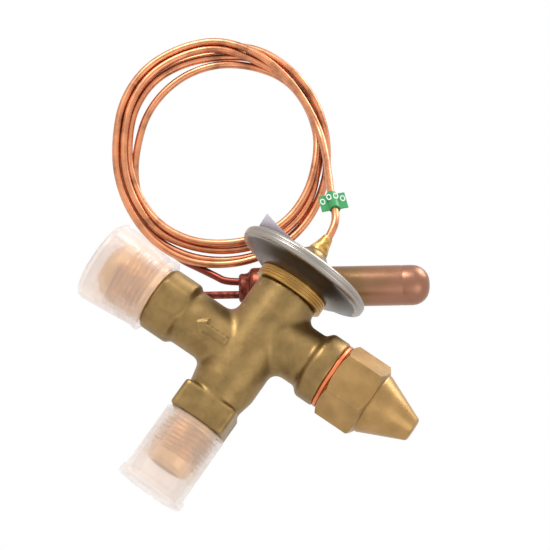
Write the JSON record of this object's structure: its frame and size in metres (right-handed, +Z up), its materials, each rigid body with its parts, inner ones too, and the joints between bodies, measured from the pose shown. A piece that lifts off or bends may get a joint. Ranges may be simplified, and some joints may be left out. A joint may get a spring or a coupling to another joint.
{
  "type": "thermostatic expansion valve",
  "caption": "Brass thermostatic expansion valve with flare ends under plastic caps, stainless power element, coiled copper capillary and sensing bulb.",
  "frame": {"origin": "centre of the inlet flare's nose end", "axes": "+Z up the inlet and power element axis, +X from the outlet to the seal cap, +Y towards the sensing bulb"},
  "size_m": [0.14, 0.0564, 0.143],
  "materials": {
    "forged_brass": "satin",
    "turned_brass": "satin",
    "bright_brass": "polished",
    "stainless": "satin",
    "spring_steel": "satin",
    "copper": "satin",
    "heated_copper": "satin",
    "clear_plastic": "translucent",
    "seal_rubber": "matt",
    "green_tag": "satin",
    "label_paper": "matt"
  },
  "bodies": {
    "root": {"valve_body": "forged_brass", "orifice_housing": "bright_brass", "cone_spring": "spring_steel", "cone_spring_retainer": "bright_brass", "inlet_strainer": "stainless", "element_ring": "turned_brass", "element_lower_cup": "stainless", "element_upper_cup": "stainless", "diaphragm": "stainless", "spindle_seal": "seal_rubber", "gland_bush": "bright_brass", "capillary_ferrule": "bright_brass", "sensing_bulb": "heated_copper", "bulb_plug": "heated_copper", "bulb_charge_tube": "copper", "capillary_tail": "copper", "capillary_lead": "copper", "capillary_coil": "copper", "capillary_marker": "green_tag", "rating_label": "label_paper"},
    "spindle": {"setting_spindle": "bright_brass"},
    "gear": {"setting_gear": "bright_brass"},
    "seat": {"spring_seat": "bright_brass", "superheat_spring": "spring_steel"},
    "stroke": {"thrust_pad": "stainless", "push_rod": "stainless", "orifice_cone": "stainless"},
    "gasket_carrier": {"cap_gasket": "copper"},
    "seal_cap_body": {"seal_cap": "turned_brass"},
    "inlet_cap_body": {"inlet_cap": "clear_plastic"},
    "outlet_cap_body": {"outlet_cap": "clear_plastic"}
  },
  "joints": [
    {"name": "spindle_turn", "type": "hinge", "parent": "root", "child": "spindle", "pos_m": [0.02, 0, 0.0506], "axis": [1, 0, 0], "range_deg": [-540, 540]},
    {"name": "gear_turn", "type": "hinge", "parent": "root", "child": "gear", "pos_m": [0, 0, 0.055], "axis": [0, 0, 1], "range_deg": [-270, 270]},
    {"name": "seat_lift", "type": "slide", "parent": "root", "child": "seat", "axis": [0, 0, 1], "range_m": [-0.00112, 0.00112]},
    {"name": "valve_stroke", "type": "slide", "parent": "root", "child": "stroke", "axis": [0, 0, -1], "range_m": [0, 0.0006], "stiffness_N_per_m": 3000, "springref_m": -0.001, "deforming": ["superheat_spring", "cone_spring", "diaphragm"]},
    {"name": "seal_cap_run", "type": "slide", "parent": "root", "child": "gasket_carrier", "axis": [1, 0, 0], "range_m": [0, 0.0075]},
    {"name": "seal_cap_turn", "type": "hinge", "parent": "gasket_carrier", "child": "seal_cap_body", "pos_m": [0.032, 0, 0.0506], "axis": [1, 0, 0], "range_deg": [0, 1800]},
    {"name": "inlet_cap_off", "type": "slide", "parent": "root", "child": "inlet_cap_body", "axis": [0, 0, -1], "range_m": [0, 0.03]},
    {"name": "outlet_cap_off", "type": "slide", "parent": "root", "child": "outlet_cap_body", "axis": [-1, 0, 0], "range_m": [0, 0.03]}
  ],
  "couplings": [
    {"joint": "gear_turn", "follows": "seat_lift", "rad_per_m": -4188.8},
    {"joint": "spindle_turn", "follows": "seat_lift", "rad_per_m": 8377.6},
    {"joint": "seal_cap_run", "follows": "seal_cap_turn", "m_per_rad": 0.00023873}
  ]
}
